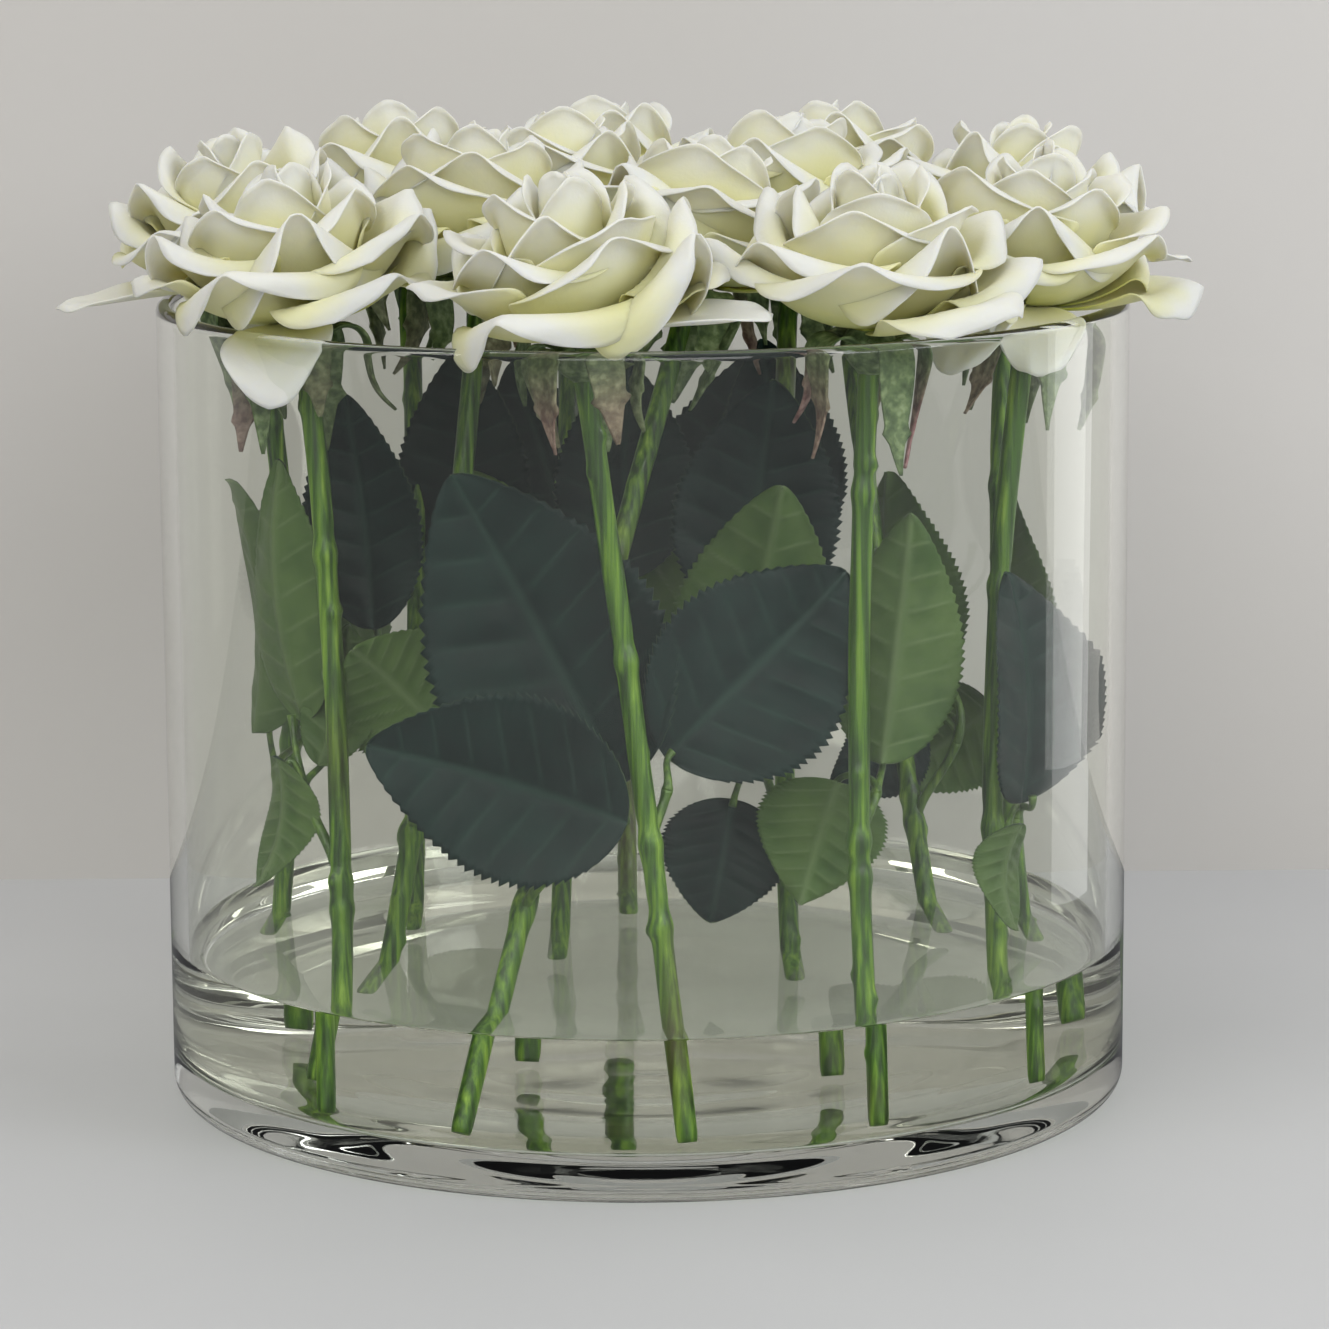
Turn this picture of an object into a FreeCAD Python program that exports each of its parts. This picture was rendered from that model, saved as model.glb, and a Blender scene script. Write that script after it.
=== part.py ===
"""Glass cylinder vase holding thirteen artificial roses that stand in water.

The frame has +Z up and its origin under the middle of the vase, on the surface that it stands on.
-Y is the front. Lengths are millimetres and angles are degrees.

A rose is four pieces: a stem with its leaf stalks, the leaves pushed onto the stalks, a calyx pushed
onto the peg at the stem's top, and a flower head pushed onto the calyx.
"""

import FreeCAD, Part
import math
import os
import Sketcher
from FreeCAD import Placement, Rotation, Vector

SIZES = {
    # vase: a thick-bottomed tube
    "vase_radius": 125.0,
    "vase_height": 207.0,
    "wall": 4.5,
    "floor_level": 11.0,
    "kick_up": 1.4,
    "foot_ring": 14.0,
    "outer_corner": 5.0,
    "inner_corner": 5.0,
    "rim_round": 2.0,
    # water
    "water_level": 41.0,
    "water_gap": 0.05,
    "socket_gap": 0.35,
    # stem
    "stem_radius": 2.6,
    "knot_radius": 2.95,
    "low_knot": 57.0,
    "high_knot": 136.0,
    "knot_shift": 0.1,
    "foot_level": 12.6,
    "peg_radius": 1.4,
    "peg_length": 16.0,
    # leaf stalk: it swells at the stem and divides at a small round joint
    "stalk_radius": 0.95,
    "stalk_swell": 0.3,
    "stalk_bend": 12.0,
    "node_radius": 3.1,
    "joint_radius": 1.7,
    # calyx, measured up the peg from the stem's end
    "calyx_neck": 3.1,
    "calyx_belly": 5.6,
    "calyx_height": 11.0,
    "sepal_count": 5,
    "sepal_width": 4.6,
    "sepal_thick": 0.8,
    "sepal_reach": 10.5,
    "sepal_drop": 15.0,
    # flower head, measured up the peg from the stem's end
    "head_base": 9.5,
    "head_height": 47.0,
    "head_seat": 0.1,
    # leaf
    "leaf_thick": 0.8,
    "rib_width": 1.0,
    "rib_depth": 0.7,
}

# flower head from its widest petals' undersides to its crown: share of its radius, share of its height
HEAD_PROFILE = [(0.68, 0.42), (0.95, 0.62), (1.0, 0.76), (0.86, 0.9), (0.5, 1.0)]

# half of a leaf's outline from its base to its tip: share of its length, share of its width
LEAF_PROFILE = [(0.14, 0.36), (0.38, 0.5), (0.74, 0.33)]
RIB_SHARE = 0.8  # the rib's length as a share of the leaf's

# name, foot x, y, top x, y, z, bend of the stem, radius of the head
ROSES = [
    ("rose_01", -76, -78, -82, -61, 197.5, 5, 33),
    ("rose_02", 9, -108, -14, -98, 198.5, 7, 33),
    ("rose_03", 54, -94, 54, -85, 198.0, 6, 33),
    ("rose_04", 90, -52, 95, -37, 197.5, 7, 33),
    ("rose_05", 104, 12, 97, 33, 200.0, 7, 33),
    ("rose_06", 80, 22, 55, 80, 203.0, 3, 30),
    ("rose_07", -5, 46, -8, 97, 203.0, 3, 30),
    ("rose_08", -64, 30, -64, 74, 202.0, 3, 32),
    ("rose_09", -103, 26, -100, 8, 200.0, 9, 33),
    ("rose_10", -72, -38, -42, -12, 205.0, 4, 28),
    ("rose_11", -44, -98, 10, -33, 204.0, 3, 27),
    ("rose_12", 38, -28, 38, 15, 206.0, 3, 27),
    ("rose_13", -24, -4, -20, 36, 206.0, 3, 27),
]

# rose, height on the stem where the stalk leaves it, joint x, y, z where the stalk divides
STALKS = [
    ("rose_01", 68, -84, -62, 90),
    ("rose_02", 84, 5, -96, 97),
    ("rose_03", 82, 56, -78, 92),
    ("rose_04", 62, 93, -44, 78),
    ("rose_05", 64, 106, 30, 84),
    ("rose_06", 60, 84, 34, 82),
    ("rose_07", 66, -2, 74, 88),
    ("rose_08", 62, -70, 56, 84),
    ("rose_09", 60, -97, -2, 82),
    ("rose_10", 72, -58, -52, 96),
    ("rose_11", 62, -18, -92, 82),
    ("rose_12", 66, 30, -30, 90),
    ("rose_13", 70, -14, 18, 92),
]

# rose, base x, y, z, tip x, y, z, azimuth that the upper side faces, width
LEAVES = [
    ("rose_01", -88, -54, 106, -95, -46, 171, 40, 34),
    ("rose_01", -88, -61, 99, -92, -60, 66, 40, 20),
    ("rose_01", -80, -56, 96, -71, -57, 132, 70, 20),
    ("rose_02", 5, -90, 104, 50, -76, 147, -90, 48),
    ("rose_03", 58, -72, 98, 66, -58, 158, 80, 32),
    ("rose_03", 47, -70, 94, 38, -66, 63, 90, 32),
    ("rose_04", 95, -59, 85, 93, -56, 143, -40, 46),
    ("rose_04", 90, -58, 80, 87, -62, 54, 130, 16),
    ("rose_05", 103, 38, 94, 96, 40, 150, 20, 36),
    ("rose_05", 96, 44, 90, 68, 52, 68, 60, 30),
    ("rose_06", 74, 40, 90, 52, 36, 66, -60, 28),
    ("rose_06", 74, 54, 94, 62, 66, 150, 40, 40),
    ("rose_06", 42, 66, 128, 32, 64, 188, -90, 34),
    ("rose_07", 12, 85, 114, 33, 90, 181, -90, 42),
    ("rose_07", -15, 93, 108, -36, 92, 178, -80, 42),
    ("rose_08", -78, 60, 92, -84, 62, 150, 140, 38),
    ("rose_08", -62, 66, 88, -40, 72, 62, 110, 30),
    ("rose_08", -48, 60, 124, -50, 60, 186, -95, 36),
    ("rose_09", -98, -12, 96, -100, -22, 164, 30, 38),
    ("rose_09", -88, 20, 92, -84, 30, 146, 150, 30),
    ("rose_10", -50, -60, 104, -72, -64, 128, 90, 38),
    ("rose_10", -68, -30, 126, -74, -28, 186, -100, 30),
    ("rose_11", -4, -97, 90, -66, -88, 108, -90, 46),
    ("rose_11", -6, -84, 96, -46, -76, 172, -90, 58),
    ("rose_12", 22, -46, 84, 16, -54, 54, -90, 32),
    ("rose_12", 22, -50, 100, 34, -52, 166, 90, 40),
    ("rose_12", 25, -20, 126, 33, -20, 188, -90, 42),
    ("rose_13", 2, 16, 100, 34, 6, 156, 80, 44),
    ("rose_13", -26, 22, 100, -48, 26, 158, 95, 44),
    ("rose_13", -6, 12, 132, -4, 8, 190, -90, 36),
]

TWIST_STEP = 137.5  # each calyx is turned by the golden angle from the one before
SHOULDER = "0.7 * dims.calyx_belly"  # radius of the calyx's flat top


def fill_sheet(doc):
    """Writes every driving dimension to a spreadsheet, one aliased cell for each."""
    sheet = doc.addObject("Spreadsheet::Sheet", "dims")
    cells = dict(SIZES)
    for name, *numbers in ROSES:
        fields = ("foot_x", "foot_y", "top_x", "top_y", "top_z", "bend", "head_radius")
        cells.update((f"{name}_{field}", n) for field, n in zip(fields, numbers))
    for name, *numbers in STALKS:
        fields = ("stalk_z", "joint_x", "joint_y", "joint_z")
        cells.update((f"{name}_{field}", n) for field, n in zip(fields, numbers))
    for index, (_, *numbers) in enumerate(LEAVES):
        fields = ("base_x", "base_y", "base_z", "tip_x", "tip_y", "tip_z", "faces", "width")
        cells.update((f"leaf_{index:02d}_{field}", n) for field, n in zip(fields, numbers))
    for row, (alias, number) in enumerate(cells.items(), 1):
        sheet.set(f"A{row}", alias)
        sheet.set(f"B{row}", str(number))
        sheet.setAlias(f"B{row}", alias)
    doc.recompute()
    return sheet


def size(sheet, text):
    """The value of an expression in the sheet's aliases, such as 'dims.vase_radius - dims.wall'."""
    return float(sheet.evalExpression(text))


def cell(sheet, alias):
    return float(sheet.get(alias))


def point(sheet, stem):
    return Vector(*(cell(sheet, f"{stem}_{axis}") for axis in "xyz"))


def origin_plane(body, role):
    return next(f for f in body.Origin.OriginFeatures if f.Role == role)


def upright_sketch(body, name):
    """A sketch on the body's XZ plane: its x is the body's X, and its y is the body's Z."""
    sketch = body.newObject("Sketcher::SketchObject", name)
    sketch.AttachmentSupport = (origin_plane(body, "XZ_Plane"), "")
    sketch.MapMode = "FlatFace"
    return sketch


def draw_polygon(sheet, sketch, corners):
    """Closes a polygon through corners given as pairs of expressions, each bound by two constraints."""
    spots = [Vector(size(sheet, across), size(sheet, up), 0) for across, up in corners]
    for start, end in zip(spots, spots[1:] + spots[:1]):
        sketch.addGeometry(Part.LineSegment(start, end))
    count = len(corners)
    for line in range(count):
        sketch.addConstraint(Sketcher.Constraint("Coincident", line, 2, (line + 1) % count, 1))
    for line, (across, up) in enumerate(corners):
        for kind, text, value in (("DistanceX", across, spots[line].x), ("DistanceY", up, spots[line].y)):
            index = sketch.addConstraint(Sketcher.Constraint(kind, -1, 1, line, 1, value))
            sketch.setExpression(f"Constraints[{index}]", text)


def new_body(doc, label):
    body = doc.addObject("PartDesign::Body", label)
    body.Label = label
    return body


def revolve(doc, sheet, body, corners):
    """Adds the polygon turned a full circle about the body's Z axis."""
    sketch = upright_sketch(body, body.Name + "_profile")
    draw_polygon(sheet, sketch, corners)
    turned = body.newObject("PartDesign::Revolution", body.Name + "_turned")
    turned.Profile = sketch
    turned.ReferenceAxis = (sketch, ["V_Axis"])
    turned.Angle = 360
    doc.recompute()
    return turned


def edges_at(shape, radius, height):
    """Names of the circular edges with that radius about Z and that height."""
    found = []
    for number, edge in enumerate(shape.Edges, 1):
        box = edge.BoundBox
        if abs(box.ZMin - height) < 0.01 and abs(box.ZMax - height) < 0.01 and abs(box.XMax - radius) < 0.01:
            found.append(f"Edge{number}")
    return found


def round_edges(doc, sheet, body, base, radius, height, alias):
    fillet = body.newObject("PartDesign::Fillet", f"{body.Name}_{alias}")
    fillet.Base = (base, edges_at(base.Shape, radius, height))
    fillet.setExpression("Radius", f"dims.{alias}")
    doc.recompute()
    return fillet


def make_vase(doc, sheet):
    """The glass: a straight wall on a thick floor whose underside is hollowed a little."""
    body = new_body(doc, "glass_vase")
    outer = cell(sheet, "vase_radius")
    inner = outer - cell(sheet, "wall")
    height = cell(sheet, "vase_height")
    floor_level = cell(sheet, "floor_level")
    shape = revolve(doc, sheet, body, [
        ("0", "dims.kick_up"),
        ("dims.vase_radius - dims.foot_ring", "0"),
        ("dims.vase_radius", "0"),
        ("dims.vase_radius", "dims.vase_height"),
        ("dims.vase_radius - dims.wall", "dims.vase_height"),
        ("dims.vase_radius - dims.wall", "dims.floor_level"),
        ("0", "dims.floor_level"),
    ])
    shape = round_edges(doc, sheet, body, shape, outer, 0, "outer_corner")
    shape = round_edges(doc, sheet, body, shape, inner, floor_level, "inner_corner")
    rim = body.newObject("PartDesign::Fillet", "glass_vase_rim")
    rim.Base = (shape, edges_at(shape.Shape, outer, height) + edges_at(shape.Shape, inner, height))
    rim.setExpression("Radius", "dims.rim_round")
    doc.recompute()
    return body


def arc_frame(start, end, bend, towards):
    """Placement of a torus segment that runs from start to end, bending by bend each side of the chord.

    The arc leaves start turned away from towards, and reaches end turned to it.
    Also returns the direction in which it arrives.
    """
    chord = end - start
    along = Vector(chord).normalize()
    side = towards - along * towards.dot(along)
    side.normalize()
    half = math.radians(bend)
    ring = chord.Length / (2 * math.sin(half))
    leave = along * math.cos(half) - side * math.sin(half)
    arrive = along * math.cos(half) + side * math.sin(half)
    outwards = (side * math.cos(half) + along * math.sin(half)) * -1
    turn = Rotation(outwards, leave, outwards.cross(leave), "XYZ")
    return Placement(start - outwards * ring, turn), arrive


def add_arc(doc, name, start, end, bend, towards, radius_text):
    """A round rod along an arc, as a torus segment whose thickness is bound to the sheet."""
    rod = doc.addObject("Part::Torus", name)
    rod.Radius1 = (end - start).Length / (2 * math.sin(math.radians(bend)))
    rod.setExpression("Radius2", radius_text)
    rod.Angle3 = 2 * bend
    rod.Placement, arrive = arc_frame(start, end, bend, towards)
    return rod, arrive


def add_ball(doc, name, centre, radius_text):
    ball = doc.addObject("Part::Sphere", name)
    ball.setExpression("Radius", radius_text)
    ball.Placement = Placement(centre, Rotation())
    return ball


def stem_ends(sheet, name):
    """The foot, the top and the outward direction at the top of a rose's stem."""
    foot = Vector(
        cell(sheet, f"{name}_foot_x"),
        cell(sheet, f"{name}_foot_y"),
        cell(sheet, "foot_level"),
    )
    top = point(sheet, f"{name}_top")
    return foot, top, Vector(top.x, top.y, 0)


def point_at_height(start, end, bend, towards, height):
    """The point of an arc at a height, found by halving."""
    frame, _ = arc_frame(start, end, bend, towards)
    ring = (end - start).Length / (2 * math.sin(math.radians(bend)))
    low, high = 0.0, math.radians(2 * bend)
    for _ in range(40):
        middle = (low + high) / 2
        spot = frame.multVec(Vector(ring * math.cos(middle), ring * math.sin(middle), 0))
        if spot.z < height:
            low = middle
        else:
            high = middle
    return spot


def make_stem(doc, sheet, name):
    """A stem with the peg that carries the flower, and the stalks that carry its leaves."""
    foot, top, outward = stem_ends(sheet, name)
    bend = cell(sheet, f"{name}_bend")
    rod, up = add_arc(doc, f"{name}_rod", foot, top, bend, outward, "dims.stem_radius")
    peg = doc.addObject("Part::Cylinder", f"{name}_peg")
    peg.setExpression("Radius", "dims.peg_radius")
    peg.setExpression("Height", "dims.peg_length")
    peg.Placement = Placement(top, Rotation(Vector(0, 0, 1), up))
    pieces = [rod, peg]
    joint = point(sheet, f"{name}_joint")
    node = point_at_height(foot, top, bend, outward, cell(sheet, f"{name}_stalk_z"))
    stalk_bend = cell(sheet, "stalk_bend")
    pieces.append(add_ball(doc, f"{name}_node", node, "dims.node_radius"))
    for label in ("low_knot", "high_knot"):
        height = cell(sheet, label) + cell(sheet, "knot_shift") * foot.x
        spot = point_at_height(foot, top, bend, outward, height)
        pieces.append(add_ball(doc, f"{name}_{label}", spot, "dims.knot_radius"))
    pieces.append(add_ball(doc, f"{name}_joint", joint, "dims.joint_radius"))
    swollen = "dims.stalk_radius + dims.stalk_swell"
    stalk, _ = add_arc(doc, f"{name}_stalk", node, joint, stalk_bend, Vector(0, 0, 1), swollen)
    pieces.append(stalk)
    for index, (rose, *_) in enumerate(LEAVES):
        if rose == name:
            base = point(sheet, f"leaf_{index:02d}_base")
            towards = point(sheet, f"leaf_{index:02d}_tip") - base
            label = f"twig_{index:02d}"
            twig, _ = add_arc(doc, label, joint, base, stalk_bend, towards, "dims.stalk_radius")
            pieces.append(twig)
    stem = doc.addObject("Part::MultiFuse", f"{name}_stem")
    stem.Shapes = pieces
    stem.Label = f"{name}_stem"
    below = math.degrees(cell(sheet, "socket_gap") / rod.Radius1.Value)
    socket = doc.addObject("Part::Torus", f"{name}_socket")
    socket.Radius1 = rod.Radius1
    socket.setExpression("Radius2", "dims.knot_radius + dims.socket_gap")
    socket.Angle3 = 2 * bend + below
    socket.Placement = rod.Placement.multiply(Placement(Vector(), Rotation(Vector(0, 0, 1), -below)))
    return stem, socket, Placement(top, Rotation(Vector(0, 0, 1), up))


def make_water(doc, sheet, sockets):
    """The water: a disc on the vase's floor that is open around each stem."""
    disc = doc.addObject("Part::Cylinder", "water_disc")
    disc.setExpression("Radius", "dims.vase_radius - dims.wall - dims.water_gap")
    disc.setExpression("Height", "dims.water_level - dims.floor_level - dims.water_gap")
    disc.Placement = Placement(Vector(0, 0, size(sheet, "dims.floor_level + dims.water_gap")), Rotation())
    doc.recompute()
    rounded = doc.addObject("Part::Fillet", "water_rounded")
    rounded.Base = disc
    corner = size(sheet, "dims.inner_corner")
    rim = edges_at(disc.Shape, disc.Radius.Value, disc.Placement.Base.z)
    rounded.Edges = [(int(edge[4:]), corner, corner) for edge in rim]
    holes = doc.addObject("Part::MultiFuse", "water_sockets")
    holes.Shapes = sockets
    water = doc.addObject("Part::Cut", "water")
    water.Base = rounded
    water.Tool = holes
    water.Label = "water"
    return water


def make_calyx(doc, sheet, name, place, twist):
    """The green cup under the flower, bored for the peg, with its sepals bent back."""
    body = new_body(doc, f"{name}_calyx")
    revolve(doc, sheet, body, [
        ("dims.peg_radius", "0"),
        ("dims.calyx_neck", "0"),
        ("dims.calyx_belly", "0.45 * dims.calyx_height"),
        ("dims.calyx_belly", "0.8 * dims.calyx_height"),
        (SHOULDER, "dims.calyx_height"),
        ("dims.peg_radius", "dims.calyx_height"),
    ])
    sketch = upright_sketch(body, body.Name + "_sepal_profile")
    root = "0.62 * dims.calyx_height"
    turn = "0.84 * dims.sepal_reach"
    draw_polygon(sheet, sketch, [
        (SHOULDER, root),
        (SHOULDER, f"{root} - dims.sepal_thick"),
        (f"{turn} - dims.sepal_thick", f"{root} - dims.sepal_thick"),
        ("dims.sepal_reach - dims.sepal_thick", "0.1 * dims.calyx_height"),
        ("dims.sepal_reach - dims.sepal_thick", "-dims.sepal_drop"),
        ("dims.sepal_reach", "-dims.sepal_drop"),
        ("dims.sepal_reach", "0.1 * dims.calyx_height"),
        (turn, root),
    ])
    sepal = body.newObject("PartDesign::Pad", body.Name + "_sepal")
    sepal.Profile = sketch
    sepal.setExpression("Length", "dims.sepal_width")
    sepal.Midplane = True
    doc.recompute()
    ring = body.newObject("PartDesign::PolarPattern", body.Name + "_sepals")
    ring.Originals = [sepal]
    ring.Axis = (sketch, ["V_Axis"])
    ring.Angle = 360
    ring.setExpression("Occurrences", "dims.sepal_count")
    body.Tip = ring
    body.Placement = place.multiply(Placement(Vector(), Rotation(Vector(0, 0, 1), twist)))
    return body


def make_head(doc, sheet, name, place):
    """The flower head: a crowned bowl of petals, hollow underneath where it sits on the calyx."""
    body = new_body(doc, f"{name}_head")
    radius = f"dims.{name}_head_radius"
    petals = [(f"{across} * {radius}", f"{up} * dims.head_height") for across, up in HEAD_PROFILE]
    revolve(doc, sheet, body, [
        ("dims.peg_radius", "dims.calyx_height"),
        (SHOULDER, "dims.calyx_height"),
        ("dims.calyx_belly + dims.head_seat", "0.8 * dims.calyx_height"),
        (f"{radius} / 3", "dims.head_base"),
        *petals,
        ("0", "dims.head_height"),
        ("0", "dims.peg_length"),
        ("dims.peg_radius", "dims.peg_length"),
    ])
    body.Placement = place
    return body


def blade(sheet, index):
    """One leaf: a pointed plate, widest near its base, with the raised rib on its underside."""
    base = point(sheet, f"leaf_{index:02d}_base")
    along = point(sheet, f"leaf_{index:02d}_tip") - base
    length, width = along.Length, cell(sheet, f"leaf_{index:02d}_width")
    thick = cell(sheet, "leaf_thick")

    rib_width, rib_depth = cell(sheet, "rib_width"), cell(sheet, "rib_depth")

    def edge(side):
        near, wide, far = (Vector(x * length, side * y * width, 0) for x, y in LEAF_PROFILE)
        root, tip = Vector(0, side * rib_width / 2, 0), Vector(length, 0, 0)
        return [Part.Arc(root, near, wide).toShape(), Part.Arc(wide, far, tip).toShape()]

    left, right = edge(1), edge(-1)
    closing = Part.LineSegment(right[0].Vertexes[0].Point, left[0].Vertexes[0].Point).toShape()
    outline = Part.Wire(Part.__sortEdges__(left + right + [closing]))
    plate = Part.Face(outline).extrude(Vector(0, 0, thick))
    rib = Part.makeBox(RIB_SHARE * length, rib_width, rib_depth, Vector(0, -rib_width / 2, -rib_depth))
    leaf = plate.fuse(rib).removeSplitter()
    azimuth = math.radians(cell(sheet, f"leaf_{index:02d}_faces"))
    faces = Vector(math.cos(azimuth), math.sin(azimuth), 0)
    turn = Rotation(along, Vector(), faces, "XZY")
    return leaf.transformed(Placement(base, turn).toMatrix())


def make_leaves(doc, sheet, name):
    """The separate leaves of one rose, as one group of solids."""
    blades = [blade(sheet, index) for index, (rose, *_) in enumerate(LEAVES) if rose == name]
    group = doc.addObject("Part::Feature", f"{name}_leaves")
    group.Shape = Part.makeCompound(blades)
    group.Label = f"{name}_leaves"
    return group


def check(doc, parts):
    """Stops on any failed object, or any sub-part with no valid shape."""
    for item in doc.Objects:
        if {"Invalid", "Error"} & set(item.State):
            raise RuntimeError(f"{item.Label} is {item.State}")
    for part in parts:
        if part.Shape.isNull() or not part.Shape.isValid() or not part.Shape.Solids:
            raise RuntimeError(f"{part.Label} has no valid shape")


def main():
    doc = FreeCAD.newDocument("vase_of_roses")
    sheet = fill_sheet(doc)
    parts = [make_vase(doc, sheet)]
    sockets = []
    for number, (name, *_) in enumerate(ROSES):
        stem, socket, place = make_stem(doc, sheet, name)
        sockets.append(socket)
        parts.append(stem)
        parts.append(make_leaves(doc, sheet, name))
        parts.append(make_calyx(doc, sheet, name, place, number * TWIST_STEP))
        parts.append(make_head(doc, sheet, name, place))
    parts.append(make_water(doc, sheet, sockets))
    doc.recompute()
    check(doc, parts)
    os.makedirs("parts", exist_ok=True)
    for part in parts:
        part.Shape.exportStep(os.path.join("parts", part.Label + ".step"))
        print(f"{part.Label}: {part.Shape.Volume / 1000:.2f} cm3, {len(part.Shape.Solids)} solids")


main()
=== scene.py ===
# %% [markdown]
# # A glass cylinder vase of white roses
# The vase is a thick-bottomed glass tube with shallow water in it, and thirteen artificial roses. The
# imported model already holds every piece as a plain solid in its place. This notebook gives each piece
# its real surface: glass, still water, moulded stems, toothed leaves, drooping sepals, curled petals.

# %% Load the frame
import math

import bpy
import numpy as np
from mathutils import Euler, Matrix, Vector


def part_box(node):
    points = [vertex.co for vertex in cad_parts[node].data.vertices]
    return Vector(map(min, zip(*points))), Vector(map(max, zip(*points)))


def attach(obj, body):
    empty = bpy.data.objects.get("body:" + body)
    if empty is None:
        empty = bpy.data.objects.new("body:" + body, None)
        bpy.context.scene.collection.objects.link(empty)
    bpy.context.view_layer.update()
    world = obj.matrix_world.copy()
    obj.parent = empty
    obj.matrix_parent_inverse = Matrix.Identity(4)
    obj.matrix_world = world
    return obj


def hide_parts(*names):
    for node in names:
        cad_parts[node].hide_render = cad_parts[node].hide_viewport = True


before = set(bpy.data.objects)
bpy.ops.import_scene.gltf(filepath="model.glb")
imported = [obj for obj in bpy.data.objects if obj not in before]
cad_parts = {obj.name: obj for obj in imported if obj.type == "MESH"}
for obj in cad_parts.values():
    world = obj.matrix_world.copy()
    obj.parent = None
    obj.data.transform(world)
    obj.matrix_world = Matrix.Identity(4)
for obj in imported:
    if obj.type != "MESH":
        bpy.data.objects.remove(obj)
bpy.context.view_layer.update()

MM = 0.001
ROSE_COUNT = 13
ROSES = [f"rose_{number:02d}" for number in range(1, ROSE_COUNT + 1)]

# %% [markdown]
# Every new piece here is a sheet of points on a grid: two parameters run over it, and a formula gives
# each point its place. A few small helpers are enough for all of them. One lists the four-sided faces
# of a grid, one gives a thin sheet its thickness, and one carries a ring of points along a path.

# %% Helpers for surfaces


def unit(vectors):
    """Each vector divided by its own length."""
    return vectors / (np.linalg.norm(vectors, axis=-1, keepdims=True) + 1e-12)


def smooth(low, high, values):
    """A ramp from 0 at low to 1 at high, level at both ends: 3t squared minus 2t cubed."""
    t = np.clip((values - low) / (high - low), 0, 1)
    return t * t * (3 - 2 * t)


def grid_faces(rows, columns, closed=False):
    """The quads of a grid of points numbered row by row; closed joins the last column to the first."""
    last = columns if closed else columns - 1
    row, column = np.meshgrid(np.arange(rows - 1), np.arange(last), indexing="ij")
    after = (column + 1) % columns
    corners = [row * columns + column, row * columns + after]
    corners += [(row + 1) * columns + after, (row + 1) * columns + column]
    return np.stack(corners, -1).reshape(-1, 4)


def fans_at_ends(rows, around):
    """Triangles that close a stack of rings with a point before the first and one after the last."""
    step = np.arange(around)
    after = (step + 1) % around
    low, high = rows * around, rows * around + 1
    top = (rows - 1) * around
    fans = [[int(b), int(a), low] for a, b in zip(step, after)]
    return fans + [[top + int(a), top + int(b), high] for a, b in zip(step, after)]


def shell(sheets, thickness):
    """Closes thin sheets, an array [sheet, row, column, xyz], into solid shells.

    The normal is the across-direction crossed with the along-direction. Each row becomes a closed
    ring: it runs across half a thickness above the sheet and comes back half a thickness below it.
    Two strips of quads close the first and last rows.
    """
    across, along = np.gradient(sheets, axis=2), np.gradient(sheets, axis=1)
    lift = unit(np.cross(across, along)) * thickness[..., None] / 2
    rings = np.concatenate([sheets + lift, (sheets - lift)[:, :, ::-1]], axis=2)
    count, rows, columns = sheets.shape[:3]
    start = np.arange(columns - 1)
    back = 2 * columns - 1 - start
    first = np.stack([start, back, back - 1, start + 1], -1)
    last = np.stack([start, start + 1, back - 1, back], -1) + (rows - 1) * 2 * columns
    faces = np.concatenate([grid_faces(rows, 2 * columns, closed=True), first, last])
    offsets = np.arange(count)[:, None, None] * rows * 2 * columns
    return rings.reshape(-1, 3), (faces[None] + offsets).reshape(-1, 4)


def ring_pair(values):
    """A per-point value of the sheets, repeated for the upper and the lower side of their shells."""
    return np.concatenate([values, values[:, :, ::-1]], axis=2).reshape(-1)


def tube(path, sideways, radius, around):
    """A closed rod: at each point of the path, a ring of points at that point's radii.

    sideways is a direction for each path point; its crossing with the path's own direction gives the
    ring's second axis. A pole at each end closes the rod with a fan.
    """
    forward = unit(np.gradient(path, axis=0))
    first = unit(sideways - forward * np.sum(sideways * forward, -1, keepdims=True))
    second = np.cross(forward, first)
    angle = np.arange(around) * 2 * np.pi / around
    ring = np.cos(angle)[None, :, None] * first[:, None] + np.sin(angle)[None, :, None] * second[:, None]
    points = (path[:, None] + ring * radius[..., None]).reshape(-1, 3)
    rows = len(path)
    faces = grid_faces(rows, around, closed=True).tolist() + fans_at_ends(rows, around)
    return np.concatenate([points, path[:1], path[-1:]]), faces


def new_object(name, data):
    """An object that shows the data, linked into the scene."""
    thing = bpy.data.objects.new(name, data)
    bpy.context.scene.collection.objects.link(thing)
    return thing


def make_piece(name, points, faces, values=None):
    """A smooth mesh object from points and faces, with a float attribute for each entry of values."""
    mesh = bpy.data.meshes.new(name)
    mesh.from_pydata(points, [], faces if isinstance(faces, list) else faces.tolist())
    for label, numbers in (values or {}).items():
        attribute = mesh.attributes.new(label, "FLOAT", "POINT")
        attribute.data.foreach_set("value", np.asarray(numbers, np.float32))
    mesh.polygons.foreach_set("use_smooth", np.full(len(mesh.polygons), True))
    mesh.update()
    return new_object(name, mesh)


def join(parts):
    """Several (points, faces, values) sets as one set, with the face numbers moved up."""
    points, faces, values, total = [], [], {}, 0
    for part_points, part_faces, part_values in parts:
        points.append(part_points)
        faces += [[corner + total for corner in face] for face in part_faces]
        for label, numbers in part_values.items():
            values.setdefault(label, []).append(np.asarray(numbers))
        total += len(part_points)
    values = {label: np.concatenate(lists) for label, lists in values.items()}
    return np.concatenate(points), faces, values


# %% [markdown]
# A material here is one Principled shader whose sockets are fed by a few patterns. Patterns read the
# piece's Object coordinates or its own attributes, so they stay on the piece from every side. A tiny
# wrapper keeps the node trees short enough to read as recipes.

# %% Helpers for materials


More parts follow.
